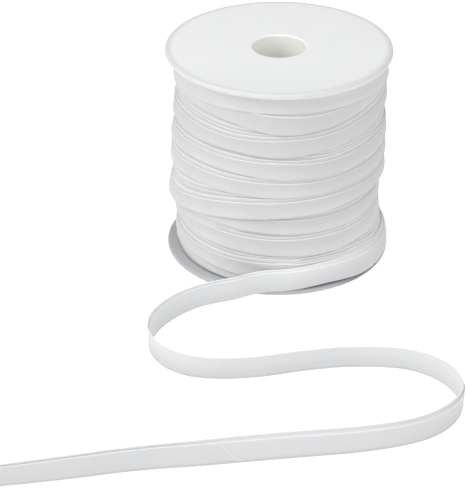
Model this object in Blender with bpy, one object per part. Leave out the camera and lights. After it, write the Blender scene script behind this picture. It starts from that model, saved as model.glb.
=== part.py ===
"""A roll of folded bias tape on a white plastic spool, its loose end standing on the table in an S.

The spool is two flat flanges plugged into a plain tube. The tape is wound round the tube in one
continuous spiral: each turn lies about a tape's width below the turn before, like shingles. The
last turn comes off the bottom of the winding at the front and runs out over the table on its
folded edge. The spool's axis is Z and its lower face rests at Z = 0. Front is -Y, right is +X.
"""

import math
from bisect import bisect_right

import bmesh
import bpy
from mathutils import Vector

MM = 0.001

# Spool
FLANGE_RADIUS = 50.0 * MM
FLANGE_THICKNESS = 2.5 * MM
RIM_ROUND = 1.2 * MM
BORE_RADIUS = 11.8 * MM
LIP_ROUND = 0.8 * MM
SPOOL_HEIGHT = 97.5 * MM
TUBE_OUTER_RADIUS = 17.0 * MM
TUBE_INNER_RADIUS = 14.0 * MM
SPIGOT_LENGTH = 12.0 * MM
SPIGOT_CHAMFER = 0.4 * MM
GAP = 0.3 * MM
ROUND_STEPS = 64
ARC_STEPS = 3

# Tape
TAPE_WIDTH = 10.2 * MM
TAPE_THICKNESS = 1.2 * MM

# Winding
WINDING_STEPS = 60
WINDING_TOP = SPOOL_HEIGHT - FLANGE_THICKNESS - GAP
WINDING_BOTTOM = FLANGE_THICKNESS + GAP
WINDING_BORE = TUBE_OUTER_RADIUS + GAP
TOP_FACE_RADIUS = 45.0 * MM
BOTTOM_FACE_RADIUS = 38.0 * MM
FIRST_ANGLE = -180.0
LAST_ANGLE = 9 * 360.0 - 6.0

# Each turn's folded lower edge, in mm above the table, at seven places across the front and one
# behind. R and L are degrees to the right and the left of the front.
EDGE_PLACES = {"R75": -75, "R50": -50, "R25": -25, "front": 0, "L25": 25, "L50": 50, "L75": 75, "back": 180}
EDGES = [
    # R75, R50, R25, front, L25, L50, L75, back
    ("first", 88.5, 87.8, 87.4, 87.7, 87.5, 86.9, 86.4, 85.6),
    ("second", 84.0, 81.9, 78.2, 77.8, 80.7, 82.8, 83.2, 79.0),
    ("third", 75.0, 71.7, 68.9, 66.8, 67.8, 68.4, 68.7, 63.8),
    ("fourth", 58.5, 57.5, 56.4, 56.1, 57.4, 57.6, 56.2, 52.0),
    ("fifth", 47.8, 48.4, 47.7, 47.2, 47.7, 47.4, 46.7, 43.2),
    ("loose", 39.8, 39.3, 38.4, 37.5, 35.6, 32.8, 29.0, 30.5),
    ("seventh", 30.4, 30.1, 29.2, 29.4, 30.0, 29.0, 26.4, 23.6),
    ("eighth", 20.2, 18.6, 18.2, 18.6, 19.5, 20.1, 20.4, 17.4),
    ("ninth", 14.0, 13.8, 13.9, 12.6, 7.2, 8.2, 10.2, 6.0),
    ("last", 3.1, 3.1, 3.6, 3.2, 3.1, 3.1, 3.1, 3.1),
]

# How far each turn stands out from the axis, in mm, at the right, the front, the left and behind.
STAND_PLACES = {"right": -86, "front": 0, "left": 88, "back": 180}
STANDS = [
    # right, front, left, back
    ("first", 48.2, 47.8, 46.5, 47.6),
    ("second", 48.4, 47.8, 46.4, 47.6),
    ("third", 48.0, 47.7, 46.9, 47.7),
    ("fourth", 48.2, 48.0, 47.9, 47.9),
    ("fifth", 48.1, 48.0, 48.2, 47.8),
    ("loose", 48.0, 48.4, 49.3, 47.4),
    ("seventh", 45.8, 47.7, 47.9, 46.8),
    ("eighth", 46.1, 47.6, 46.2, 46.9),
    ("ninth", 47.0, 47.7, 46.3, 48.4),
    ("last", 50.0, 50.1, 50.1, 50.1),
]

# The lowest turn that peeps out beneath, where the winding overhangs the lower flange.
BASE_EDGE_LEFT = 8.0 * MM
BASE_EDGE_FRONT = 4.2 * MM
BASE_RADIUS = 45.6 * MM

# Section of a turn, top to bottom: how far each point lies behind the turn's outer face
TUCK_DEPTH = 2.2 * MM
TOP_DEPTH = 1.1 * MM
MIDDLE_DEPTH = 0.2 * MM
FOLD_DEPTH = 0.7 * MM
FOLD_HEIGHT = 1.2 * MM
MIDDLE_SHARE = 0.55
STEP = 0.25 * MM

# The loose end, from where it leaves the winding to its cut end. x, y and z are the middle of its
# folded lower edge, and lean is how far its open edge leans to the right of its way, all in mm.
LOOSE_END = [
    # x, y, z, lean
    (4.7, -49.3, 3.1, 0.3),
    (-4.5, -51.0, 2.7, 0.5),
    (-15.5, -53.8, 1.7, 0.8),
    (-26.0, -56.6, 0.9, 1.1),
    (-34.9, -60.0, 0.5, 1.5),
    (-42.4, -65.6, 0.2, 1.9),
    (-48.6, -72.8, 0.0, 2.0),
    (-52.9, -80.6, 0.0, 1.6),
    (-55.1, -88.6, 0.0, 0.7),
    (-54.6, -96.0, 0.0, 0.2),
    (-51.4, -103.6, 0.0, -0.2),
    (-46.0, -110.0, 0.0, -0.6),
    (-37.8, -114.6, 0.0, -0.6),
    (-25.5, -116.4, 0.0, -0.1),
    (-9.0, -115.0, 0.0, -0.2),
    (7.6, -110.8, 0.0, -0.1),
    (24.4, -107.7, 0.0, 0.1),
    (41.0, -107.5, 0.0, 0.0),
    (52.0, -109.4, 0.0, -0.2),
    (61.7, -115.0, 0.0, -1.0),
    (68.2, -122.8, 0.0, -1.6),
    (71.6, -131.2, 0.0, -1.4),
    (72.0, -138.6, 0.0, -0.8),
    (69.6, -146.6, 0.0, 0.3),
    (64.1, -154.6, 0.0, 1.4),
    (56.0, -160.9, 0.0, 1.9),
    (45.5, -165.3, 0.0, 2.2),
    (29.6, -169.4, 0.0, 3.2),
    (13.8, -171.8, 0.0, 3.7),
    (-1.8, -174.0, 0.0, 3.9),
    (-17.4, -176.3, 0.0, 3.9),
    (-33.0, -178.7, 0.0, 3.0),
    (-48.4, -180.5, 0.0, 1.9),
    (-63.8, -183.0, 0.0, 1.3),
    (-79.0, -186.4, 0.0, 1.1),
    (-94.2, -189.4, 0.0, 0.4),
    (-109.3, -192.0, 0.0, -0.5),
    (-117.0, -193.4, 0.0, -0.7),
]
LOOSE_END_STATIONS = 78


def clear_scene():
    for obj in list(bpy.data.objects):
        bpy.data.objects.remove(obj)


def make_material(name, colour, roughness):
    material = bpy.data.materials.new(name)
    material.use_nodes = True
    shader = material.node_tree.nodes["Principled BSDF"]
    shader.inputs["Base Color"].default_value = (*colour, 1.0)
    shader.inputs["Roughness"].default_value = roughness
    shader.inputs["Metallic"].default_value = 0.0
    return material


def add_object(name, bm, material):
    """Put a finished bmesh into the scene as one smooth-shaded object."""
    bmesh.ops.recalc_face_normals(bm, faces=bm.faces)
    mesh = bpy.data.meshes.new(name)
    bm.to_mesh(mesh)
    bm.free()
    mesh.shade_smooth()
    mesh.set_sharp_from_angle(angle=math.radians(35))
    mesh.materials.append(material)
    obj = bpy.data.objects.new(name, mesh)
    bpy.context.scene.collection.objects.link(obj)
    return obj


def smooth_curve(places, values, place):
    """Value at a place on a smooth curve through the values at the given rising places."""
    last = len(places) - 1
    i = min(max(bisect_right(places, place) - 1, 0), last - 1)
    span = places[i + 1] - places[i]
    t = min(max((place - places[i]) / span, 0.0), 1.0)

    def slope(k):
        low, high = max(k - 1, 0), min(k + 1, last)
        return (values[high] - values[low]) / (places[high] - places[low]) * span

    rise = values[i + 1] - values[i]
    a, b = slope(i), slope(i + 1)
    return values[i] + t * (a + t * (3 * rise - 2 * a - b + t * (a + b - 2 * rise)))


def around_turns(places, rows):
    """A table of turns as one long run of places, in degrees along the tape, and its values."""
    along, values = [], []
    for turn, row in enumerate(rows):
        for place, value in zip(places.values(), row[1:]):
            along.append(360.0 * turn + place)
            values.append(value * MM)
    return along, values


def arc(middle, radius, start, end):
    """Points of a round corner in the profile's plane, angles in degrees from +R towards +Z."""
    points = []
    for i in range(ARC_STEPS + 1):
        angle = math.radians(start + (end - start) * i / ARC_STEPS)
        points.append((middle[0] + radius * math.cos(angle), middle[1] + radius * math.sin(angle)))
    return points


def turned(name, profile, material):
    """A closed profile of (radius, height) points turned round the spool's axis."""
    bm = bmesh.new()
    verts = [bm.verts.new((radius, 0.0, height)) for radius, height in profile]
    edges = [bm.edges.new((verts[i - 1], verts[i])) for i in range(len(verts))]
    bmesh.ops.spin(
        bm,
        geom=verts + edges,
        axis=(0, 0, 1),
        cent=(0, 0, 0),
        angle=2 * math.pi,
        steps=ROUND_STEPS,
        use_merge=True,
    )
    return add_object(name, bm, material)


def flange_profile():
    """The upper flange's section: a disc with a rounded rim and lip, and a spigot below it."""
    top = SPOOL_HEIGHT
    under = SPOOL_HEIGHT - FLANGE_THICKNESS
    spigot = TUBE_INNER_RADIUS - GAP
    spigot_end = under - SPIGOT_LENGTH
    profile = arc((BORE_RADIUS + LIP_ROUND, top - LIP_ROUND), LIP_ROUND, 180, 90)
    profile += arc((FLANGE_RADIUS - RIM_ROUND, top - RIM_ROUND), RIM_ROUND, 90, 0)
    profile += arc((FLANGE_RADIUS - RIM_ROUND, under + RIM_ROUND), RIM_ROUND, 0, -90)
    profile += [
        (spigot, under),
        (spigot, spigot_end + SPIGOT_CHAMFER),
        (spigot - SPIGOT_CHAMFER, spigot_end),
        (BORE_RADIUS, spigot_end),
    ]
    return profile


def make_spool(material):
    upper = flange_profile()
    lower = [(radius, SPOOL_HEIGHT - height) for radius, height in upper]
    turned("spool_top_flange", upper, material)
    turned("spool_bottom_flange", lower, material)
    tube = [
        (TUBE_INNER_RADIUS, WINDING_BOTTOM),
        (TUBE_OUTER_RADIUS, WINDING_BOTTOM),
        (TUBE_OUTER_RADIUS, WINDING_TOP),
        (TUBE_INNER_RADIUS, WINDING_TOP),
    ]
    turned("spool_core", tube, material)


def at(angle, radius, height):
    """A point round the axis. The angle runs the way the tape does, from the right to the left."""
    turn = math.radians(angle)
    return (-radius * math.sin(turn), -radius * math.cos(turn), height)


def turn_section(angle, edges, stands):
    """(radius, height) points down the face of the turn that passes this angle along the tape."""
    fold = smooth_curve(*edges, angle)
    above = smooth_curve(*edges, angle - 360.0) if angle > FIRST_ANGLE + 360.0 - 1.0 else WINDING_TOP
    stand = smooth_curve(*stands, angle)
    above = min(above, WINDING_TOP)
    tucked = above - 2 * STEP
    top = min(fold + TAPE_WIDTH, tucked - STEP)
    return [
        (stand - TUCK_DEPTH, above - STEP),
        (stand - TUCK_DEPTH, min(tucked, top + STEP)),
        (stand - TOP_DEPTH, top),
        (stand - MIDDLE_DEPTH, fold + MIDDLE_SHARE * (top - fold)),
        (stand, fold + FOLD_HEIGHT),
        (stand - FOLD_DEPTH, fold),
    ]


def base_edge(angle):
    """Height of the winding's lowest edge, which lifts away from the flange at the left."""
    left = max(0.0, math.sin(math.radians(angle)))
    return BASE_EDGE_FRONT + (BASE_EDGE_LEFT - BASE_EDGE_FRONT) * left**2


def make_winding(material):
    """The wound tape as one solid: a spiral face of shingled turns round a plain bore."""
    bm = bmesh.new()
    edges = around_turns(EDGE_PLACES, EDGES)
    stands = around_turns(STAND_PLACES, STANDS)
    step = 360.0 / WINDING_STEPS
    count = round((LAST_ANGLE - FIRST_ANGLE) / step)
    columns = []
    for i in range(count + 1):
        angle = FIRST_ANGLE + i * step
        columns.append([bm.verts.new(at(angle, *point)) for point in turn_section(angle, edges, stands)])

    for left, right in zip(columns, columns[1:]):
        for row in range(len(left) - 1):
            bm.faces.new((left[row], right[row], right[row + 1], left[row + 1]))
    for i in range(count - WINDING_STEPS):
        below = columns[i + WINDING_STEPS], columns[i + WINDING_STEPS + 1]
        bm.faces.new((columns[i][-1], columns[i + 1][-1], below[1][0], below[0][0]))

    def ring(start, radius, height):
        """One row of points round the axis, from the angle where the winding starts or ends."""
        return [
            bm.verts.new(at(start + j * step, radius, height(start + j * step)))
            for j in range(WINDING_STEPS)
        ]

    def band(upper, lower):
        for j in range(WINDING_STEPS):
            after = (j + 1) % WINDING_STEPS
            bm.faces.new((upper[j], upper[after], lower[after], lower[j]))

    top = ring(FIRST_ANGLE, TOP_FACE_RADIUS, lambda angle: WINDING_TOP)
    for j in range(WINDING_STEPS):
        after = (j + 1) % WINDING_STEPS
        bm.faces.new((top[j], top[after], columns[j + 1][0], columns[j][0]))
    first = columns[0]
    bm.faces.new([top[0]] + first + [columns[WINDING_STEPS][0]])

    end = count - WINDING_STEPS
    base = ring(LAST_ANGLE, BASE_RADIUS, base_edge)
    for j in range(WINDING_STEPS):
        after = (j + 1) % WINDING_STEPS
        bm.faces.new((columns[end + j][-1], columns[end + j + 1][-1], base[after], base[j]))
    bm.faces.new([columns[end][-1]] + columns[-1] + [base[0]])

    bottom = ring(LAST_ANGLE, BOTTOM_FACE_RADIUS, lambda angle: WINDING_BOTTOM)
    bore_bottom = ring(LAST_ANGLE, WINDING_BORE, lambda angle: WINDING_BOTTOM)
    band(base, bottom)
    band(bottom, bore_bottom)
    shift = round((LAST_ANGLE - FIRST_ANGLE) / step) % WINDING_STEPS
    bore_top = ring(FIRST_ANGLE, WINDING_BORE, lambda angle: WINDING_TOP)
    band(bore_top, top)
    band(bore_bottom, bore_top[shift:] + bore_top[:shift])
    add_object("tape_winding", bm, material)


def along_route(points, count):
    """Evenly spaced points on a smooth curve through the route's own points."""
    places = [0.0]
    for before, after in zip(points, points[1:]):
        places.append(places[-1] + math.dist(before[:2], after[:2]))
    columns = [list(column) for column in zip(*points)]
    spaced = []
    for i in range(count):
        place = places[-1] * i / (count - 1)
        spaced.append([smooth_curve(places, column, place) for column in columns])
    return spaced


def make_loose_end(material):
    """The free length of tape, standing on its folded edge: a thin strip that leans as it goes."""
    stations = along_route([[value * MM for value in row] for row in LOOSE_END], LOOSE_END_STATIONS)
    bm = bmesh.new()
    sections = []
    last = len(stations) - 1
    for i, (x, y, z, lean) in enumerate(stations):
        before, after = stations[max(i - 1, 0)], stations[min(i + 1, last)]
        way = Vector((after[0] - before[0], after[1] - before[1])).normalized()
        side = Vector((way.y, -way.x, 0.0))
        rise = Vector((0.0, 0.0, math.sqrt(TAPE_WIDTH**2 - lean**2)))
        low = Vector((x, y, max(z, 0.0)))
        high = low + side * lean + rise
        half = side * (TAPE_THICKNESS / 2)
        sections.append([bm.verts.new(point) for point in (low - half, low + half, high + half, high - half)])
    for near, far in zip(sections, sections[1:]):
        for k in range(4):
            bm.faces.new((near[k - 1], near[k], far[k], far[k - 1]))
    bm.faces.new(sections[0])
    bm.faces.new(sections[-1])
    add_object("tape_loose_end", bm, material)


def main():
    clear_scene()
    plastic = make_material("Spool plastic white", (0.83, 0.84, 0.84), 0.35)
    tape = make_material("Bias tape white", (0.86, 0.86, 0.85), 0.55)
    make_spool(plastic)
    make_winding(tape)
    make_loose_end(tape)


main()
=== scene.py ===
"""The looks of a roll of folded bias tape on a white plastic spool.

The spool's three parts come from the frame and get their plastic. The wound tape and the loose end
are made here as real folded tape: a narrow leaf outside, a fold at the bottom, and a wider leaf
behind whose edge shows above the narrow one. The winding is one spiral of shingled turns, with some
turns of the layer beneath showing between them. A slanted seam with loose thread ends crosses the
loose end, where two lengths of tape are joined. All sizes are in metres, in the frame's own axes.
"""

import math
from bisect import bisect_right

import bmesh
import bpy
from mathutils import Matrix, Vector


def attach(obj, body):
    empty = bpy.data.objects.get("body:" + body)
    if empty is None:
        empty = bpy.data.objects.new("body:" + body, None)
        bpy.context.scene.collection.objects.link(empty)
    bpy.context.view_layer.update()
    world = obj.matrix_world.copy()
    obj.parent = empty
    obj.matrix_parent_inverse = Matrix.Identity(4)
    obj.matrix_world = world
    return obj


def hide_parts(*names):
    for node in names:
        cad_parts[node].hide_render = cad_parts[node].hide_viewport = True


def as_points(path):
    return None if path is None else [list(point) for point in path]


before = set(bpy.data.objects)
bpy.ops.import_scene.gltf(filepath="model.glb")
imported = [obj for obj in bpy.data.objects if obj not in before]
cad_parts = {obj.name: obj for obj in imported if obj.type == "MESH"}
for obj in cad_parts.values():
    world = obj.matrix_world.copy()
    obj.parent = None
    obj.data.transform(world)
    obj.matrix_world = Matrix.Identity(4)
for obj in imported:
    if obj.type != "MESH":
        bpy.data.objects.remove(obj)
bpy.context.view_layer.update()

MM = 0.001
TINY = 0.001 * MM
MERGE_DISTANCE = 1e-7
SHARP_ANGLE = math.radians(70)

# Spool
SPOOL_HEIGHT = 97.5 * MM
FLANGE_RADIUS = 50.0 * MM
FLANGE_THICKNESS = 2.5 * MM
BORE_RADIUS = 11.8 * MM
TUBE_OUTER_RADIUS = 17.0 * MM
GAP = 0.3 * MM
WINDING_TOP = SPOOL_HEIGHT - FLANGE_THICKNESS - GAP
WINDING_BOTTOM = FLANGE_THICKNESS + GAP

# Folded tape, across its width
WIDE_LEAF = 10.2 * MM
NARROW_LEAF = 8.3 * MM
HALF_FOLD = 0.66 * MM
TAPE_SECTION = [
    # outwards, up (mm): up the narrow leaf, over its edge, down into the slit, up the wide leaf, down
    (0.00, 0.00), (0.36, 0.08), (0.58, 0.35), (0.66, 0.90), (0.60, 2.40), (0.52, 4.60), (0.50, 6.60),
    (0.52, 7.70), (0.44, 8.15), (0.28, 8.30), (0.12, 8.18), (0.04, 7.90), (0.00, 7.30), (-0.03, 7.90),
    (-0.03, 9.50), (-0.10, 10.00), (-0.29, 10.20), (-0.48, 10.05), (-0.56, 9.50), (-0.58, 6.60),
    (-0.60, 3.00), (-0.66, 0.90), (-0.58, 0.35), (-0.36, 0.08),
]
NARROW_EDGE_POINT = 9
WIDE_EDGE_POINT = 16

# Winding: angles in degrees along the tape, 0 at the front in the first turn, rising to the left
LAST_TURN = 9
FIRST_ANGLE = -180.0
LAST_ANGLE = LAST_TURN * 360.0 - 6.0
STATIONS_PER_TURN = 150
EDGE_PLACES = {"R75": -75, "R50": -50, "R25": -25, "front": 0, "L25": 25, "L50": 50, "L75": 75, "back": 180}
FOLDS = [
    # height of each turn's folded lower edge, mm: R75, R50, R25, front, L25, L50, L75, back
    ("first", 87.0, 87.5, 87.3, 87.4, 87.1, 86.3, 85.6, 85.8),
    ("second", 86.5, 83.6, 79.0, 77.4, 80.9, 83.2, 84.6, 81.5),
    ("third", 75.4, 71.7, 68.6, 66.5, 67.8, 68.0, 68.2, 64.0),
    ("fourth", 59.3, 57.7, 56.3, 56.0, 57.7, 58.2, 57.3, 53.0),
    ("fifth", 50.0, 50.1, 48.0, 47.3, 47.5, 47.5, 46.0, 44.2),
    ("loose", 41.2, 40.6, 38.9, 37.6, 35.5, 32.4, 29.5, 29.6),
    ("seventh", 30.2, 28.6, 28.8, 29.4, 30.6, 31.6, 30.0, 23.6),
    ("eighth", 18.4, 18.2, 17.6, 18.4, 19.4, 20.2, 20.6, 15.0),
    ("ninth", 9.5, 8.0, 7.2, 7.0, 7.6, 8.8, 10.2, 6.5),
    ("last", 1.9, 2.0, 3.9, 2.1, 1.9, 1.9, 1.9, 1.9),
]
NARROW_TOPS = [
    # height of the narrow leaf's edge, in the same places
    ("first", 94.0, 94.0, 94.0, 94.0, 94.0, 94.0, 94.0, 94.0),
    ("second", 92.6, 89.5, 85.9, 86.2, 88.1, 89.8, 89.9, 88.0),
    ("third", 80.6, 78.4, 75.5, 74.8, 74.1, 74.8, 75.4, 72.3),
    ("fourth", 65.6, 64.4, 63.0, 64.0, 64.1, 64.3, 63.4, 60.2),
    ("fifth", 55.9, 55.2, 53.9, 54.3, 54.4, 54.3, 52.9, 52.2),
    ("loose", 46.9, 46.5, 46.0, 45.1, 43.4, 39.4, 35.6, 37.4),
    ("seventh", 36.5, 35.7, 35.7, 36.2, 37.6, 38.2, 36.6, 31.0),
    ("eighth", 26.8, 26.0, 26.4, 26.5, 26.9, 27.2, 26.6, 22.6),
    ("ninth", 15.0, 14.0, 13.6, 14.6, 14.6, 14.9, 15.6, 14.4),
    ("last", 9.9, 11.2, 12.0, 11.2, 10.8, 10.4, 10.0, 10.0),
]
WIDE_TOPS = [
    # height of the wide leaf's edge, in the same places
    ("first", 94.6, 94.6, 94.6, 94.6, 94.6, 94.6, 94.6, 94.6),
    ("second", 94.2, 91.5, 87.8, 88.1, 89.9, 91.5, 91.6, 89.9),
    ("third", 83.2, 80.7, 77.4, 76.4, 76.1, 77.0, 78.0, 74.4),
    ("fourth", 67.6, 66.4, 64.8, 65.2, 66.0, 66.4, 65.6, 62.2),
    ("fifth", 57.9, 57.1, 55.8, 56.2, 56.4, 56.4, 55.4, 54.2),
    ("loose", 50.0, 50.0, 48.2, 47.1, 45.2, 41.5, 37.8, 39.3),
    ("seventh", 38.4, 37.8, 37.8, 38.2, 39.5, 40.1, 38.5, 32.9),
    ("eighth", 28.5, 27.7, 28.0, 27.8, 28.6, 29.2, 28.6, 24.5),
    ("ninth", 16.9, 16.0, 15.4, 16.6, 16.5, 17.0, 17.9, 16.4),
    ("last", 11.5, 12.9, 13.5, 12.1, 11.8, 11.8, 11.8, 11.8),
]
STAND_PLACES = {"right": -86, "front": 0, "left": 88, "back": 180}
STANDS = [
    # how far each turn's fold stands out from the axis, mm: right, front, left, back
    ("first", 48.2, 47.8, 46.5, 47.6),
    ("second", 48.4, 47.8, 46.4, 47.6),
    ("third", 48.0, 47.7, 46.9, 47.7),
    ("fourth", 48.2, 48.0, 47.9, 47.9),
    ("fifth", 48.1, 48.0, 48.2, 47.8),
    ("loose", 48.0, 48.4, 49.3, 47.4),
    ("seventh", 45.8, 47.7, 47.9, 46.8),
    ("eighth", 46.1, 47.6, 46.2, 46.9),
    ("ninth", 48.6, 47.9, 46.3, 48.4),
    ("last", 50.0, 50.1, 50.1, 50.1),
]
PRESSED = 0.5
PRESSED_BENEATH = 0.3
TUCK = 0.35 * MM
HIDDEN_SLOPE = 0.13
LEAST_LEAN = 0.4 * MM
LAST_LEAN = 2.0 * MM
LAST_LEAN_POWER = 4.0
LAST_LEAN_FROM = LAST_TURN * 360.0 - 150.0
LAST_LEAN_FULL = LAST_TURN * 360.0 - 95.0
TOP_LEAN = 0.9 * MM
TOP_CLEARANCE = 0.05 * MM

# Turns of the layer beneath that show between the turns: how far their narrow edge stands above that
# of the turn they lie behind, and how far their wide edge stands above their own narrow edge
BENEATH = [
    # name, behind turn, from, to (degrees), depth, edge gap,
    # rise at R75, R50, R25, front, L25, L50, L75 (all in mm)
    ("under second", 1, -145, 145, 0.85, 1.5, 0.0, 0.0, 0.0, 0.0, 0.0, 0.0, 0.0),
    ("under third", 2, -145, 145, 0.85, 1.7, 4.5, 4.0, 3.2, 2.6, 3.4, 4.1, 4.6),
    ("further under third", 2, -145, 145, 1.05, 1.2, 7.2, 6.0, 4.6, 4.0, 5.6, 7.0, 7.6),
    ("under fourth", 3, -145, 145, 0.85, 1.4, 5.2, 3.2, 3.0, 3.6, 4.6, 4.6, 4.6),
    ("further under fourth", 3, -145, -20, 1.05, 1.2, 8.4, 6.2, 5.2, 5.2, 5.2, 5.2, 5.2),
    ("under fifth", 4, -145, 145, 0.85, 1.6, 3.0, 3.0, 2.6, 2.4, 3.6, 3.8, 4.6),
    ("under loose", 5, -145, 145, 0.85, 1.9, 2.6, 2.8, 2.0, 2.4, 3.4, 4.4, 5.8),
    ("further under loose", 5, 30, 145, 1.05, 1.9, 3.0, 3.0, 3.0, 3.0, 4.6, 7.0, 8.8),
    ("under seventh", 6, -145, 145, 0.85, 1.6, 4.4, 4.4, 2.8, 2.0, 2.0, 2.0, 2.0),
    ("under eighth", 7, -145, 145, 0.85, 1.4, 3.0, 2.6, 2.4, 2.8, 3.6, 4.2, 3.4),
    ("under ninth", 8, -145, 145, 0.85, 1.2, 3.4, 3.8, 3.6, 3.0, 3.4, 4.4, 5.0),
    ("under last", 9, -150, 10, 0.6, 1.3, 2.2, 2.6, 2.6, 2.4, 2.4, 2.4, 2.4),
    ("further under last", 9, -150, 0, 1.0, 1.5, 4.0, 4.1, 3.4, 3.4, 3.4, 3.4, 3.4),
    ("fanned under last", 9, -150, -30, 1.35, 1.3, 5.9, 5.1, 4.2, 4.2, 4.2, 4.2, 4.2),
    ("furthest under last", 9, -150, -20, 1.75, 1.4, 7.9, 6.3, 4.9, 4.8, 4.8, 4.8, 4.8),
]
BENEATH_BACK = 0.3 * MM
BENEATH_TOP = WINDING_TOP - 2.0 * MM
# a row that ends farther round than this sinks out of sight over its last degrees
BENEATH_OPEN = 100.0
BENEATH_FADE = 40.0
BENEATH_LOW = 0.2
# under the last turn the rows lean in at the top, more the farther round to the right
TIP_SHARE = 0.75
TIP_DEPTH = 0.3 * MM
TIP_FROM = -50.0
TIP_RUN = 30.0

# One more spiral of tape under all the others, its edges hidden behind the turns above it
BACKING_START = FIRST_ANGLE + 360.0
BACKING_END = LAST_TURN * 360.0 + 185.0
BACKING_DEPTH = 1.3 * MM
BACKING_OVERLAP = 1.6 * MM
BACKING_TOP = WINDING_TOP - 2.5 * MM
BACKING_BOTTOM = 3.4 * MM
BACKING_EDGE_GAP = 1.5 * MM

# The lowest turn, which peeps out under the winding above the lower flange
BASE_FOLD = (4.6, 4.2, 3.8, 3.6, 3.8, 5.2, 6.4, 5.0)
BASE_RADIUS = 45.9 * MM
BASE_LEAN = 0.8 * MM
BASE_START = -179.5
BASE_SPAN = 359.0
PACKED_RADIUS = 43.8 * MM
PACKED_STEPS = 96

# The loose end, from where it leaves the winding to its cut end
LOOSE_END = [
    # x, y, z of the folded edge's middle, lean of the open edge to the right of its way, mm
    (4.7, -49.3, 2.6, 1.4),
    (-4.5, -51.0, 2.1, 1.4),
    (-15.5, -53.8, 1.4, 1.4),
    (-26.0, -56.6, 0.9, 1.5),
    (-34.9, -60.0, 0.5, 1.5),
    (-42.4, -65.6, 0.2, 1.9),
    (-48.6, -72.8, 0.0, 2.0),
    (-52.9, -80.6, 0.0, 1.6),
    (-55.1, -88.6, 0.0, 0.7),
    (-54.6, -96.0, 0.0, 0.2),
    (-51.4, -103.6, 0.0, -0.2),
    (-46.0, -110.0, 0.0, -0.6),
    (-37.8, -114.6, 0.0, -0.6),
    (-25.5, -116.4, 0.0, -0.1),
    (-9.0, -115.0, 0.0, -0.2),
    (7.6, -110.8, 0.0, -0.1),
    (24.4, -107.7, 0.0, 0.1),
    (41.0, -107.5, 0.0, 0.0),
    (52.0, -109.4, 0.0, -0.2),
    (61.7, -115.0, 0.0, -1.0),
    (68.2, -122.8, 0.0, -1.6),
    (71.6, -131.2, 0.0, -1.4),
    (72.0, -138.6, 0.0, -0.8),
    (69.6, -146.6, 0.0, 0.3),
    (64.1, -154.6, 0.0, 1.4),
    (56.0, -160.9, 0.0, 1.9),
    (45.5, -165.3, 0.0, 2.2),
    (29.6, -169.4, 0.0, 3.2),
    (13.8, -171.8, 0.0, 3.7),
    (-1.8, -174.0, 0.0, 3.9),
    (-17.4, -176.3, 0.0, 3.9),
    (-33.0, -178.7, 0.0, 3.0),
    (-48.4, -180.5, 0.0, 1.9),
    (-63.8, -183.0, 0.0, 1.3),
    (-79.0, -186.4, 0.0, 1.1),
    (-94.2, -189.4, 0.0, 0.4),
    (-109.3, -192.0, 0.0, -0.5),
    (-117.0, -193.4, 0.0, -0.7),
]
LOOSE_STATIONS = 400
JOIN_LENGTH = 26.0 * MM
LEAVING_RADIUS = 50.1 * MM
SPLAY_FROM = 0.3
SPLAY_POWER = 1.6
SPLAY = [
    # distance along the loose end, how far the leaves' open edges part (mm)
    (0.0, 0.0), (60.0, 0.1), (110.0, 0.15), (160.0, 0.1), (205.0, 0.15), (232.0, 0.3), (246.0, 0.6),
    (264.0, 1.1), (285.0, 1.3), (330.0, 1.0), (380.0, 0.5), (430.0, 0.3),
]
NARROW_LIFT = [
    # distance along the loose end, how much nearer the narrow leaf's edge lies to the wide one's (mm)
    (0.0, 0.8), (40.0, 0.9), (58.0, 0.4), (80.0, 0.0), (225.0, 0.0), (245.0, 0.4), (290.0, 0.4),
    (340.0, 0.5), (375.0, 0.9), (447.0, 1.0),
]

# The seam that joins two lengths of tape, slanting across the narrow leaf, and its thread ends
SEAM = [
    # distance along the loose end, height up the leaf (mm)
    (358.8, 8.2), (353.6, 7.3), (349.5, 6.0), (347.2, 3.6), (345.0, 1.8), (342.6, 0.8),
]
SEAM_WIDTH = 0.9 * MM
SEAM_RISE = 0.22 * MM
THREAD_ENDS = [
    # where each one starts and stops, along and up (mm)
    ((352.4, 2.6), (350.2, 2.1)), ((349.4, 1.6), (347.4, 1.9)), ((355.8, 5.4), (354.2, 4.7)),
    ((342.4, 1.3), (340.6, 0.8)),
]
THREAD_WIDTH = 0.35 * MM
THREAD_RISE = 0.4 * MM
LEAF_FACE = [
    # height up the narrow leaf, how far out its face lies (mm)
    (0.9, 0.66), (2.4, 0.60), (4.6, 0.52), (6.6, 0.50), (8.2, 0.45),
]

# Camera, in the frame's axes, from the photograph
CAMERA_PLACE = Vector((-0.02015, -0.8800, 0.4945))
CAMERA_TILT = math.radians(60.57)
CAMERA_LENS = 162.2
CAMERA_SENSOR = 36.0

# Studio
SOFTBOXES = [
    # name, place, what it points at, its two sides, power in watts
    ("left softbox", (-1.0, -0.45, 0.75), (0.0, -0.05, 0.04), (0.7, 0.7), 6.4),
    ("top softbox", (-0.1, -0.50, 1.2), (0.0, -0.05, 0.0), (1.1, 1.1), 8.3),
    ("right softbox", (1.0, -0.7, 0.6), (0.0, -0.05, 0.04), (0.6, 0.6), 3.4),
]
SURROUND_COLOUR = (0.985, 0.99, 1.0, 1.0)
SURROUND_STRENGTH = 0.31
FLOOR_HALF_SIDE = 4.0
FLOOR_HEIGHT = -0.0004
FLOOR_GREY = (0.35, 0.35, 0.35)
FLOOR_GLOW = 0.80


# Making camera, light and floor


def make_camera():
    data = bpy.data.cameras.new("camera")
    data.sensor_width = CAMERA_SENSOR
    data.lens = CAMERA_LENS
    camera = bpy.data.objects.new("camera", data)
    camera.location = CAMERA_PLACE
    camera.rotation_euler = (CAMERA_TILT, 0.0, 0.0)
    bpy.context.scene.collection.objects.link(camera)
    bpy.context.scene.camera = camera


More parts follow.
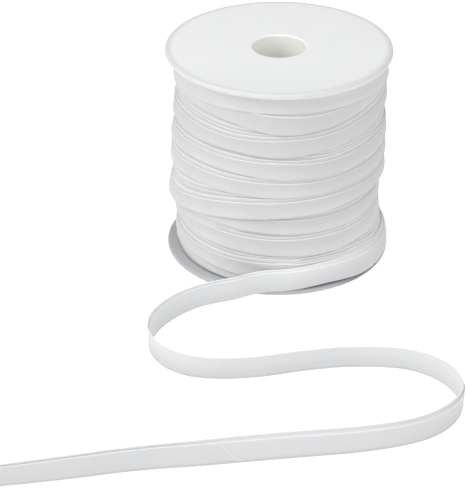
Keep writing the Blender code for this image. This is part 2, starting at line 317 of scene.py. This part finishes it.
def make_softbox(name, place, target, size, power):
    data = bpy.data.lights.new(name, "AREA")
    data.shape = "RECTANGLE"
    data.size, data.size_y = size
    data.energy = power
    light = bpy.data.objects.new(name, data)
    light.location = place
    light.rotation_mode = "QUATERNION"
    light.rotation_quaternion = (Vector(target) - Vector(place)).to_track_quat("-Z", "Y")
    bpy.context.scene.collection.objects.link(light)


def make_studio():
    scene = bpy.context.scene
    scene.view_settings.view_transform = "Standard"
    world = bpy.data.worlds.new("studio")
    world.use_nodes = True
    background = world.node_tree.nodes["Background"]
    background.inputs["Color"].default_value = SURROUND_COLOUR
    background.inputs["Strength"].default_value = SURROUND_STRENGTH
    scene.world = world
    for softbox in SOFTBOXES:
        make_softbox(*softbox)

    bm = bmesh.new()
    bmesh.ops.create_grid(bm, x_segments=1, y_segments=1, size=FLOOR_HALF_SIDE)
    bmesh.ops.translate(bm, verts=bm.verts, vec=(0.0, 0.0, FLOOR_HEIGHT))
    mesh = bpy.data.meshes.new("floor")
    bm.to_mesh(mesh)
    bm.free()
    floor = bpy.data.objects.new("floor", mesh)
    scene.collection.objects.link(floor)
    paper = Finish("Floor paper", FLOOR_GREY, 0.9)
    paper.set("Specular IOR Level", 0.0)
    paper.set("Emission Color", (1.0, 1.0, 1.0, 1.0))
    paper.set("Emission Strength", FLOOR_GLOW)
    mesh.materials.append(paper.material)


# Materials


class Value:
    """One number in a material's nodes. Arithmetic on it adds Math nodes."""

    def __init__(self, finish, socket):
        self.finish = finish
        self.socket = socket

    def math(self, operation, *others):
        return self.finish.maths(operation, self, *others)

    def __add__(self, other):
        return self.math("ADD", other)

    def __radd__(self, other):
        return self.math("ADD", other)

    def __sub__(self, other):
        return self.math("SUBTRACT", other)

    def __rsub__(self, other):
        return self.finish.maths("SUBTRACT", other, self)

    def __mul__(self, other):
        return self.math("MULTIPLY", other)

    def __rmul__(self, other):
        return self.math("MULTIPLY", other)

    def __truediv__(self, other):
        return self.math("DIVIDE", other)


class Finish:
    """A material built round its Principled shader."""

    def __init__(self, name, colour, roughness):
        self.material = bpy.data.materials.new(name)
        self.material.use_nodes = True
        self.tree = self.material.node_tree
        self.shader = self.tree.nodes["Principled BSDF"]
        self.set("Base Color", (*colour, 1.0))
        self.set("Roughness", roughness)

    def feed(self, socket, value):
        if isinstance(value, Value):
            self.tree.links.new(value.socket, socket)
        else:
            socket.default_value = value

    def set(self, name, value):
        self.feed(self.shader.inputs[name], value)

    def node(self, kind, inputs=None, output=0, **settings):
        node = self.tree.nodes.new("ShaderNode" + kind)
        for name, value in settings.items():
            setattr(node, name, value)
        for name, value in (inputs or {}).items():
            self.feed(node.inputs[name], value)
        return Value(self, node.outputs[output])

    def maths(self, operation, *values):
        inputs = {place: value for place, value in enumerate(values)}
        return self.node("Math", inputs, operation=operation)

    def between(self, value, low, high):
        """0 below low, 1 above high, and smooth between."""
        inputs = {"Value": value, "From Min": low, "From Max": high}
        return self.node("MapRange", inputs, interpolation_type="SMOOTHSTEP")

    def mix(self, factor, first, second):
        return self.node("Mix", {0: factor, 6: first, 7: second}, output=2, data_type="RGBA")

    def noise(self, place, scale, detail=2.0):
        return self.node("TexNoise", {"Vector": place, "Scale": scale, "Detail": detail})

    def split(self, vector):
        """The three numbers of a vector."""
        parts = self.tree.nodes.new("ShaderNodeSeparateXYZ")
        self.feed(parts.inputs[0], vector)
        return [Value(self, output) for output in parts.outputs]

    def bump(self, height, distance, strength):
        inputs = {"Height": height, "Distance": distance, "Strength": strength}
        self.set("Normal", self.node("Bump", inputs))


UV_PER_METRE = 2.0
WEAVE_SPACING = 0.42 * MM
RING_SPACING = 0.9 * MM
NO_GLOW = (0.0, 0.0, 0.0, 1.0)

# Where the cloth's looks change, along the tape from the end of the winding
LOOSENS = -130.0 * MM, 10.0 * MM
SETTLES = -30.0 * MM, 40.0 * MM
SETTLE_HEIGHT = 3.5 * MM
LAST_BEND = 235.0 * MM, 290.0 * MM

# Cloth's colours: in the winding, then on the loose end. The pale patches are painted uneven sheen; the
# shaded, slit, low and contact-shadow colours are painted shade; the lit colours paint the loose end
# lighter, as lit in the open; the edge highlight and glow are painted light.
PALE_CLOTH = (0.65, 0.652, 0.645, 1.0), (0.71, 0.71, 0.702, 1.0)
WARM_CLOTH = (0.68, 0.675, 0.66, 1.0)
SHADED_CLOTH = (0.57, 0.572, 0.575, 1.0)
SLIT_SHADE_CLOTH = (0.47, 0.47, 0.465, 1.0)
LIT_CLOTH = (0.735, 0.742, 0.75, 1.0), (0.76, 0.763, 0.765, 1.0)
LOW_SHADE_CLOTH = (0.58, 0.587, 0.60, 1.0)
LAST_RUN_CLOTH = (0.64, 0.643, 0.65, 1.0)
CONTACT_SHADOW_CLOTH = (0.47, 0.47, 0.47, 1.0)
EDGE_HIGHLIGHT_CLOTH = (0.88, 0.88, 0.88, 1.0)
CLOTH_GLOW = (0.18, 0.18, 0.178, 1.0)
SEAM_THREAD = (0.66, 0.664, 0.66, 1.0), (0.75, 0.754, 0.748, 1.0)

# Plastic's colours: pale and dim patches, rim, and how much painted light comes through it: 1 on the upper
# flange and core, with a painted rim glow and front shade, 0 on the lower flange, which is painted greyer
# for the roll's shade and gets a painted tape shadow on its rim
UPPER_PLASTIC = (0.92, 0.925, 0.925), (0.90, 0.905, 0.905), (0.66, 0.665, 0.68), 1.0
SHADED_LOWER_PLASTIC = (0.55, 0.56, 0.58), (0.52, 0.53, 0.55), (0.46, 0.47, 0.49), 0.0
BORE_LIGHT_CREAM = (0.84, 0.825, 0.785, 1.0)
FRONT_SHADE_PLASTIC = (0.80, 0.805, 0.81, 1.0)
OVERHUNG_RIM_SHADOW = (0.19, 0.19, 0.21, 1.0)
PLASTIC_GLOW = (0.24, 0.24, 0.238, 1.0)


def reach_along_section():
    """How far round the section each of its points lies from the fold."""
    reach = [0.0]
    for near, far in zip(TAPE_SECTION, TAPE_SECTION[1:] + TAPE_SECTION[:1]):
        reach.append(reach[-1] + math.dist(near, far) * MM)
    return reach


EDGE_REACH = reach_along_section()


def make_cloth(name, wound_length):
    """White bias-cut cloth: a fine diagonal weave, smoothed by pressing, with painted light and shade:
    painted shade in the slit, under each narrow edge, on the upper turns and low on the loose end, a
    painted contact shadow on the floor, and painted highlights and glow on the edges.
    """
    cloth = Finish(name, (0.86, 0.86, 0.85), 0.55)
    cloth.set("Sheen Weight", 0.15)
    cloth.set("Sheen Roughness", 0.4)
    uv = cloth.node("UVMap", uv_map="tape")
    u, v, _ = cloth.split(uv)
    along = u * (1 / UV_PER_METRE)
    across = v * (1 / UV_PER_METRE)

    def after(start, end):
        """0 before this stretch of the tape, 1 beyond it."""
        return cloth.between(along, wound_length + start, wound_length + end)

    def close_to(reach, inner, outer):
        """1 at this far round the section, 0 away from it."""
        return 1.0 - cloth.between((across - reach).math("ABSOLUTE"), inner, outer)

    free = after(*LOOSENS)
    narrow_reach, wide_reach = EDGE_REACH[NARROW_EDGE_POINT], EDGE_REACH[WIDE_EDGE_POINT]
    narrow_edge = close_to(narrow_reach, 0.15 * MM, 0.4 * MM)
    wide_edge = close_to(wide_reach, 0.2 * MM, 0.55 * MM)
    # painted shade in the slit between the narrow leaf's edge and the wide leaf's face; on the loose end it
    # is weaker and gets a painted glow instead
    below_slit = 1.0 - cloth.between(across, wide_reach - 1.5 * MM, wide_reach - 1.1 * MM)
    slit = cloth.between(across, narrow_reach + 0.3 * MM, narrow_reach + 0.5 * MM) * below_slit
    # painted shade: each leaf face is painted darker just under the narrow edge, lighter towards the fold
    below_edge = 1.0 - cloth.between(across, 7.9 * MM, 8.1 * MM)
    under_edge = cloth.between(across, 1.2 * MM, 7.4 * MM) * below_edge
    fold = 1.0 - cloth.between(across, 0.5 * MM, 1.0 * MM)
    thread = 2 * math.pi / WEAVE_SPACING
    warp = ((along + across) * thread).math("SINE")
    weft = ((along - across) * thread).math("SINE")
    weave = warp * weft
    spot = cloth.node("TexCoord", output=3)
    mottle = cloth.noise(spot, 160.0)
    # painted sheen: random paler and darker patches stand in for the cloth's uneven sheen
    cloud = cloth.noise(spot, 28.0)
    patches = cloth.between(cloud, 0.35, 0.65)
    pale = cloth.mix(patches, *PALE_CLOTH)
    wound = cloth.mix(cloth.between(mottle, 0.3, 0.7) * 0.3, pale, WARM_CLOTH)
    shaded = cloth.mix(under_edge * 0.55, wound, SHADED_CLOTH)
    z = cloth.split(spot)[2]
    # painted shade: the wound turns from about 50 to 88 mm up are painted darker, most between 72 and 82 mm
    upper = cloth.between(z, 50.0 * MM, 72.0 * MM) * (1.0 - cloth.between(z, 82.0 * MM, 88.0 * MM))
    upper_turns_shaded = cloth.mix(upper * 0.45, shaded, SHADED_CLOTH)
    slit_shaded = cloth.mix(slit * (0.4 - free * 0.25), upper_turns_shaded, SLIT_SHADE_CLOTH)
    # painted shade: the loose end is painted darker towards the floor, more over its first bends, and from
    # higher up where it leaves the winding
    raised = (1.0 - after(*SETTLES)) * SETTLE_HEIGHT
    low = 1.0 - cloth.between(z - raised, 0.3 * MM, 9.0 * MM)
    # painted contact shadow: a dark line along the loose end's fold where it lies on the floor
    contact_shadow = 1.0 - cloth.between(z, 0.2 * MM, 1.8 * MM)
    first_bends = 1.0 - after(*LAST_BEND)
    # painted light: the loose end is the same cloth painted lighter, as lit in the open
    lit = cloth.mix(patches, *LIT_CLOTH)
    lower = cloth.mix(low * (0.35 + first_bends * 0.4), lit, LOW_SHADE_CLOTH)
    # darker along the last run, past its last bend
    last_run = cloth.mix((1.0 - first_bends) * 0.4, lower, LAST_RUN_CLOTH)
    loose = cloth.mix(contact_shadow * 0.5, last_run, CONTACT_SHADOW_CLOTH)
    colour = cloth.mix(free, slit_shaded, loose)
    # painted highlight: the leaves' edges and, in the winding, the lower fold are painted paler, as where
    # they catch the light
    edge_highlight = narrow_edge.math("MAXIMUM", wide_edge * 0.8).math("MAXIMUM", fold * (1.0 - free) * 0.25)
    cloth.set("Base Color", cloth.mix(edge_highlight * (0.8 - free * 0.25), colour, EDGE_HIGHLIGHT_CLOTH))
    # painted light: the cloth glows on its edges, on the turn just under the upper flange as lit through
    # the plastic, and in the loose end's slit band
    near_flange = cloth.between(z, WINDING_TOP - 5.0 * MM, WINDING_TOP)
    glow = (edge_highlight * (0.85 - free * 0.35)).math("MAXIMUM", near_flange * 0.6)
    glow = glow.math("MAXIMUM", slit * free * 0.45)
    cloth.set("Emission Color", cloth.mix(glow, NO_GLOW, CLOTH_GLOW))
    cloth.set("Emission Strength", 1.0)
    cloth.set("Roughness", 0.55 + mottle * 0.12)
    cloth.bump(weave * 0.6 + mottle * 0.8, 0.03 * MM, 0.5)
    return cloth


def make_plastic(name, pale, dim, edge, through):
    """Translucent white moulded plastic, faintly brushed round the axis, with painted light and shade: a
    cream tint and glow inside the bore as lit through the tape, a darker rim, a shaded front, a rim glow on
    the upper flange and a tape shadow on the lower flange's rim.
    """
    plastic = Finish(name, pale, 0.38)
    plastic.set("Subsurface Weight", 0.25)
    plastic.set("Subsurface Radius", (1.0, 1.0, 1.0))
    plastic.set("Subsurface Scale", 1.5 * MM)
    plastic.set("Specular IOR Level", 0.35)
    spot = plastic.node("TexCoord", output=3)
    x, y, z = plastic.split(spot)
    radius = (x * x + y * y).math("SQRT")
    cloud = plastic.noise(spot, 35.0)
    fine = plastic.noise(spot, 420.0, 3.0)
    disc = plastic.mix(plastic.between(cloud, 0.3, 0.7), (*dim, 1.0), (*pale, 1.0))
    # painted shade: the flange is painted darker and cooler towards its rim
    rim = plastic.between(radius, FLANGE_RADIUS - 4.0 * MM, FLANGE_RADIUS - 0.3 * MM)
    cool = plastic.mix(rim * 0.8, disc, (*edge, 1.0))
    # painted shadow: on the lower flange, the rim's side on the right, under the tape's last turn, is
    # painted dark
    overhung_shadow = plastic.between(x, 22.0 * MM, 38.0 * MM) * (1.0 - plastic.between(z, 2.0 * MM, 3.2 * MM))
    cool = plastic.mix(overhung_shadow * rim * (1.0 - through), cool, OVERHUNG_RIM_SHADOW)
    # painted shade: the upper flange's top is painted darker towards the front, away from the rim
    front = 1.0 - plastic.between(y, -46.0 * MM, -12.0 * MM)
    cool = plastic.mix(front * (1.0 - rim) * (0.4 * through), cool, FRONT_SHADE_PLASTIC)
    # painted light: the bore's wall is tinted cream, as lit through the wound tape
    bore = 1.0 - plastic.between(radius, BORE_RADIUS + 0.1 * MM, BORE_RADIUS + 1.0 * MM)
    plastic.set("Base Color", plastic.mix(bore * 0.9, cool, BORE_LIGHT_CREAM))
    # painted light: a glow inside the bore, dimmer deeper down, and on the upper flange a glow on the rim's
    # lower part, as lit through the plastic
    rim_face = plastic.between(radius, FLANGE_RADIUS - 1.2 * MM, FLANGE_RADIUS - 0.2 * MM)
    lower_rim = 1.0 - plastic.between(z, SPOOL_HEIGHT - 2.4 * MM, SPOOL_HEIGHT - 0.9 * MM)
    depth = plastic.between(z, SPOOL_HEIGHT - 15.0 * MM, SPOOL_HEIGHT - 1.0 * MM)
    lit = (bore * depth * 0.45).math("MAXIMUM", rim_face * lower_rim * (0.35 * through))
    plastic.set("Emission Color", plastic.mix(lit, NO_GLOW, PLASTIC_GLOW))
    plastic.set("Emission Strength", 1.0)
    plastic.set("Roughness", 0.34 + fine * 0.14)
    rings = (radius * (2 * math.pi / RING_SPACING)).math("SINE")
    plastic.bump(rings * 0.25 + fine, 0.02 * MM, 0.35)
    return plastic


# Making the tape


def smooth_curve(places, values, place):
    """Value at a place on a smooth curve through the values at the given rising places."""
    last = len(places) - 1
    i = min(max(bisect_right(places, place) - 1, 0), last - 1)
    span = places[i + 1] - places[i]
    t = min(max((place - places[i]) / span, 0.0), 1.0)

    def slope(k):
        low, high = max(k - 1, 0), min(k + 1, last)
        return (values[high] - values[low]) / (places[high] - places[low]) * span

    rise = values[i + 1] - values[i]
    a, b = slope(i), slope(i + 1)
    return values[i] + t * (a + t * (3 * rise - 2 * a - b + t * (a + b - 2 * rise)))


def smoothstep(t):
    t = min(max(t, 0.0), 1.0)
    return t * t * (3 - 2 * t)


def around_turns(places, rows):
    """A table of turns as one long run of places, in degrees along the tape, and its values."""
    along, values = [], []
    for turn, row in enumerate(rows):
        for place, value in zip(places.values(), row[1:]):
            along.append(360.0 * turn + place)
            values.append(value * MM)
    return along, values


FOLD_CURVE = around_turns(EDGE_PLACES, FOLDS)
NARROW_CURVE = around_turns(EDGE_PLACES, NARROW_TOPS)
WIDE_CURVE = around_turns(EDGE_PLACES, WIDE_TOPS)
STAND_CURVE = around_turns(STAND_PLACES, STANDS)


def at(angle, radius, height):
    """A point round the axis. The angle runs the way the tape does, from the right to the left."""
    turn = math.radians(angle)
    return Vector((-radius * math.sin(turn), -radius * math.cos(turn), height))


def leaf_height(up, fold, narrow, wide):
    """Height of a point of the section that lies this far up the flat tape."""
    if up <= NARROW_LEAF:
        return fold + (narrow - fold) * up / NARROW_LEAF
    return narrow + (wide - narrow) * (up - NARROW_LEAF) / (WIDE_LEAF - NARROW_LEAF)


def winding_point(angle, out, up):
    """Where a point of the tape's section lies at an angle along the wound tape."""
    fold = smooth_curve(*FOLD_CURVE, angle)
    narrow = smooth_curve(*NARROW_CURVE, angle)
    wide = smooth_curve(*WIDE_CURVE, angle)
    stand = smooth_curve(*STAND_CURVE, angle)
    if angle > FIRST_ANGLE + 360.0:
        hidden = max(wide - smooth_curve(*FOLD_CURVE, angle - 360.0), 0.0)
        lean = stand - smooth_curve(*STAND_CURVE, angle - 360.0) + TUCK + HIDDEN_SLOPE * hidden
    else:
        lean = TOP_LEAN
    lean = max(lean, LEAST_LEAN)
    last = smoothstep((angle - LAST_LEAN_FROM) / (LAST_LEAN_FULL - LAST_LEAN_FROM))
    t = up / WIDE_LEAF
    inwards = (1 - last) * lean * t + last * LAST_LEAN * t**LAST_LEAN_POWER
    height = min(leaf_height(up, fold, narrow, wide), WINDING_TOP - TOP_CLEARANCE)
    return at(angle, stand + PRESSED * (out - HALF_FOLD) - inwards, height)


def run_lengths(sections, start=0.0):
    """Distance along the tape of each section, from its fold's corners."""
    lengths = [start]
    for near, far in zip(sections, sections[1:]):
        lengths.append(lengths[-1] + (far[0] - near[0]).length)
    return lengths


def tape_mesh(bm, sections, start=0.0):
    """Add a closed length of folded tape to a bmesh: one row of section points at each station."""
    rows, around = len(sections), len(TAPE_SECTION)
    made = bmesh.ops.create_grid(bm, x_segments=rows - 1, y_segments=around, size=1.0, calc_uvs=True)
    verts = made["verts"]
    lengths = run_lengths(sections, start)
    layer = bm.loops.layers.uv.verify()
    places = {}
    for vert in verts:
        station = round((vert.co.x + 1.0) / 2.0 * (rows - 1))
        point = round((vert.co.y + 1.0) / 2.0 * around)
        places[vert] = (station, point)
    faces = {face for vert in verts for face in vert.link_faces}
    for face in faces:
        for loop in face.loops:
            station, point = places[loop.vert]
            loop[layer].uv = (lengths[station] * UV_PER_METRE, EDGE_REACH[point] * UV_PER_METRE)
    for vert, (station, point) in places.items():
        vert.co = sections[station][point % around]
    bmesh.ops.remove_doubles(bm, verts=verts, dist=MERGE_DISTANCE)
    live = [vert for vert in verts if vert.is_valid]
    rims = {edge for vert in live for edge in vert.link_edges if edge.is_boundary}
    caps = bmesh.ops.holes_fill(bm, edges=list(rims), sides=around + 1)
    bmesh.ops.triangulate(bm, faces=caps["faces"])


def add_piece(name, bm, finish):
    bmesh.ops.recalc_face_normals(bm, faces=bm.faces)
    mesh = bpy.data.meshes.new(name)
    bm.to_mesh(mesh)
    bm.free()
    mesh.shade_smooth()
    mesh.set_sharp_from_angle(angle=SHARP_ANGLE)
    mesh.uv_layers[0].name = "tape"
    mesh.materials.append(finish.material)
    piece = bpy.data.objects.new(name, mesh)
    bpy.context.scene.collection.objects.link(piece)
    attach(piece, "root")
    return piece


def section_at(place):
    """The section's points in their place, from a function of how far out and up each one lies."""
    return [place(out * MM, up * MM) for out, up in TAPE_SECTION]


def inner_stand(angle):
    """How far out the nearer to the axis of a turn and the one above it stands."""
    return min(smooth_curve(*STAND_CURVE, angle), smooth_curve(*STAND_CURVE, angle - 360.0))


def beneath_sections(row):
    """Sections of one turn of the layer beneath."""
    turn, start, end, depth, gap = row[1:6]
    places = list(EDGE_PLACES.values())[:7]
    rises = [rise * MM for rise in row[6:]]
    sections = []
    count = round((end - start) / 360.0 * STATIONS_PER_TURN)
    for i in range(count + 1):
        side = start + (end - start) * i / count
        angle = 360.0 * turn + side
        shown = smoothstep((side - start) / BENEATH_FADE) if start < -BENEATH_OPEN else 1.0
        shown *= smoothstep((end - side) / BENEATH_FADE) if end > BENEATH_OPEN else 1.0
        narrow = smooth_curve(*NARROW_CURVE, angle) + shown * smooth_curve(places, rises, side)
        narrow = min(narrow, BENEATH_TOP)
        stand = inner_stand(angle) - depth * MM
        tip = 0.0
        if turn == LAST_TURN:
            tip = TIP_SHARE * (depth * MM - TIP_DEPTH) * smoothstep((TIP_FROM - side) / TIP_RUN)
        low = max(narrow - NARROW_LEAF, smooth_curve(*FOLD_CURVE, angle) + BENEATH_BACK)
        reach = gap * MM * (BENEATH_LOW + (1.0 - BENEATH_LOW) * shown)

        def place(out, up):
            height = leaf_height(up, low, narrow, narrow + reach)
            back = BENEATH_BACK * (1.0 - up / WIDE_LEAF) + tip * (up / WIDE_LEAF) ** 2
            return at(angle, stand + PRESSED_BENEATH * (out - HALF_FOLD) - back, height)

        sections.append(section_at(place))
    return sections


def backing_sections():
    """Sections of the spiral that closes the gaps between the outer turns."""
    count = round((BACKING_END - BACKING_START) / 360.0 * STATIONS_PER_TURN)
    sections = []
    for i in range(count + 1):
        angle = BACKING_START + (BACKING_END - BACKING_START) * i / count
        narrow = min(smooth_curve(*FOLD_CURVE, angle - 360.0) + BACKING_OVERLAP, BACKING_TOP)
        stand = inner_stand(angle) - BACKING_DEPTH
        fold = min(smooth_curve(*FOLD_CURVE, angle) + BACKING_OVERLAP, narrow - NARROW_LEAF)
        fold = max(fold, BACKING_BOTTOM)

        def place(out, up):
            height = leaf_height(up, fold, narrow, narrow + BACKING_EDGE_GAP)
            return at(angle, stand + PRESSED_BENEATH * (out - HALF_FOLD), height)

        sections.append(section_at(place))
    return sections


def base_sections():
    """Sections of the lowest turn, a ring whose two ends meet behind the roll."""
    places = list(EDGE_PLACES.values())
    places.insert(0, -180)
    values = [BASE_FOLD[-1] * MM] + [value * MM for value in BASE_FOLD]
    sections = []
    for i in range(STATIONS_PER_TURN + 1):
        angle = BASE_START + BASE_SPAN * i / STATIONS_PER_TURN
        fold = smooth_curve(places, values, angle)

        def place(out, up):
            inwards = BASE_LEAN * up / WIDE_LEAF
            return at(angle, BASE_RADIUS + PRESSED * (out - HALF_FOLD) - inwards, fold + up)

        sections.append(section_at(place))
    return sections


def outer_sections():
    """Sections of the ten turns that show, from the upper flange down to where the loose end leaves."""
    count = round((LAST_ANGLE - FIRST_ANGLE) / 360.0 * STATIONS_PER_TURN)
    sections = []
    for i in range(count + 1):
        angle = FIRST_ANGLE + (LAST_ANGLE - FIRST_ANGLE) * i / count
        sections.append(section_at(lambda out, up: winding_point(angle, out, up)))
    return sections


def make_winding(cloth, outer):
    bm = bmesh.new()
    tape_mesh(bm, outer)
    for row in BENEATH:
        tape_mesh(bm, beneath_sections(row))
    tape_mesh(bm, backing_sections())
    tape_mesh(bm, base_sections())
    winding = add_piece("wound_tape", bm, cloth)
    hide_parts("tape_winding")


def make_packed_layers(cloth):
    """The layers wound before, as one ring round the tube: only its face shows, deep in the gaps."""
    bm = bmesh.new()
    profile = [
        (TUBE_OUTER_RADIUS + GAP, WINDING_BOTTOM),
        (PACKED_RADIUS, WINDING_BOTTOM),
        (PACKED_RADIUS, WINDING_TOP),
        (TUBE_OUTER_RADIUS + GAP, WINDING_TOP),
    ]
    verts = [bm.verts.new((radius, 0.0, height)) for radius, height in profile]
    edges = [bm.edges.new((verts[i - 1], verts[i])) for i in range(len(verts))]
    bm.loops.layers.uv.verify()
    bmesh.ops.spin(
        bm,
        geom=verts + edges,
        axis=(0, 0, 1),
        cent=(0, 0, 0),
        angle=2 * math.pi,
        steps=PACKED_STEPS,
        use_merge=True,
    )
    add_piece("packed_layers", bm, cloth)


def along_route(points, count):
    """Evenly spaced points on a smooth curve through the route's own points, and their distances."""
    places = [0.0]
    for before, after in zip(points, points[1:]):
        places.append(places[-1] + math.dist(before[:2], after[:2]))
    columns = [list(column) for column in zip(*points)]
    spaced = []
    for i in range(count):
        place = places[-1] * i / (count - 1)
        spaced.append([smooth_curve(places, column, place) for column in columns])
    return spaced, places[-1]


def curve_of(rows):
    return [row[0] * MM for row in rows], [row[1] * MM for row in rows]


def loose_placer(stations, i, length):
    """A function that places a point of the section at one station of the loose end."""
    last = len(stations) - 1
    x, y, z, lean = stations[i]
    before, after = stations[max(i - 1, 0)], stations[min(i + 1, last)]
    way = Vector((after[0] - before[0], after[1] - before[1])).normalized()
    side = Vector((way.y, -way.x, 0.0))
    rise = Vector((0.0, 0.0, math.sqrt(WIDE_LEAF**2 - lean**2)))
    low = Vector((x, y, max(z, 0.0)))
    along = length * i / last
    splay = smooth_curve(*curve_of(SPLAY), along)
    lift = smooth_curve(*curve_of(NARROW_LIFT), along)
    joined = smoothstep(along / JOIN_LENGTH)
    angle = LAST_ANGLE + math.degrees(along / (LEAVING_RADIUS - PRESSED * HALF_FOLD))

    def place(out, up):
        part = max(up / WIDE_LEAF - SPLAY_FROM, 0.0) / (1.0 - SPLAY_FROM)
        spread = math.copysign(splay * part**SPLAY_POWER / 2, out) if abs(out) > TINY else 0.0
        lifted = up * (1 + lift / NARROW_LEAF) if out > TINY else up
        free = low + (side * lean + rise) * (lifted / WIDE_LEAF) - side * (out + spread)
        if joined >= 1.0:
            return free
        return winding_point(angle, out, up).lerp(free, joined)

    return place


def make_loose_end(cloth, wound_length):
    stations, length = along_route([[value * MM for value in row] for row in LOOSE_END], LOOSE_STATIONS)
    placers = [loose_placer(stations, i, length) for i in range(len(stations))]
    path = [place(0.0, WIDE_LEAF / 2) for place in placers]
    bm = bmesh.new()
    tape_mesh(bm, [section_at(place) for place in placers], wound_length)
    piece = add_piece("loose_tape", bm, cloth)
    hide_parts("tape_loose_end")
    reach = sum((far - near).length for near, far in zip(path, path[1:]))
    tuple(path[0])
    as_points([tuple(point) for point in path[::4]] + [tuple(path[-1])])
    print(f"loose end {reach:.4f} m")
    return placers, length


def make_seam(placers, length):
    """The join's raised seam and thread ends: drawn-out balls laid on the narrow leaf's face."""
    thread = Finish("Join seam thread", (0.8, 0.8, 0.78), 0.6)
    grain = thread.noise(thread.node("TexCoord", output=3), 900.0)
    thread.set("Base Color", thread.mix(grain, *SEAM_THREAD))
    thread.bump(grain, 0.05 * MM, 0.5)
    bm = bmesh.new()
    bm.loops.layers.uv.verify()

    def on_leaf(along, up, rise):
        station = along / length * (len(placers) - 1)
        i = int(station)
        out = smooth_curve(*curve_of(LEAF_FACE), up) + rise
        return placers[i](out, up).lerp(placers[i + 1](out, up), station - i)

    def lay(points, width, rise, segments):
        ball = bmesh.ops.create_uvsphere(bm, u_segments=8, v_segments=segments, radius=1.0)
        places = [i / (len(points) - 1) for i in range(len(points))]
        alongs = [point[0] * MM for point in points]
        ups = [point[1] * MM for point in points]
        for vert in ball["verts"]:
            part = (vert.co.z + 1.0) / 2.0
            along = smooth_curve(places, alongs, part) + vert.co.x * width * 0.5
            up = smooth_curve(places, ups, part) - vert.co.x * width * 0.5
            vert.co = on_leaf(along, up, vert.co.y * rise)

    lay(SEAM, SEAM_WIDTH, SEAM_RISE, 18)
    for ends in THREAD_ENDS:
        lay(ends, THREAD_WIDTH, THREAD_RISE, 6)
    add_piece("join_seam", bm, thread)


def dress_spool():
    """The same plastic three times: the lower flange lies in the roll's own shade and looks greyer."""
    upper = make_plastic("Spool plastic", *UPPER_PLASTIC)
    lower = make_plastic("Lower flange plastic in painted shade", *SHADED_LOWER_PLASTIC)
    for name, plastic in (
        ("spool_top_flange", upper),
        ("spool_core", upper),
        ("spool_bottom_flange", lower),
    ):
        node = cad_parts[name]
        node.data.materials.clear()
        node.data.materials.append(plastic.material)


make_camera()
outer = outer_sections()
wound_length = run_lengths(outer)[-1]
cloth = make_cloth("Bias tape cloth", wound_length)
placers, loose_length = make_loose_end(cloth, wound_length)
make_seam(placers, loose_length)
make_winding(cloth, outer)
make_packed_layers(cloth)
dress_spool()
make_studio()
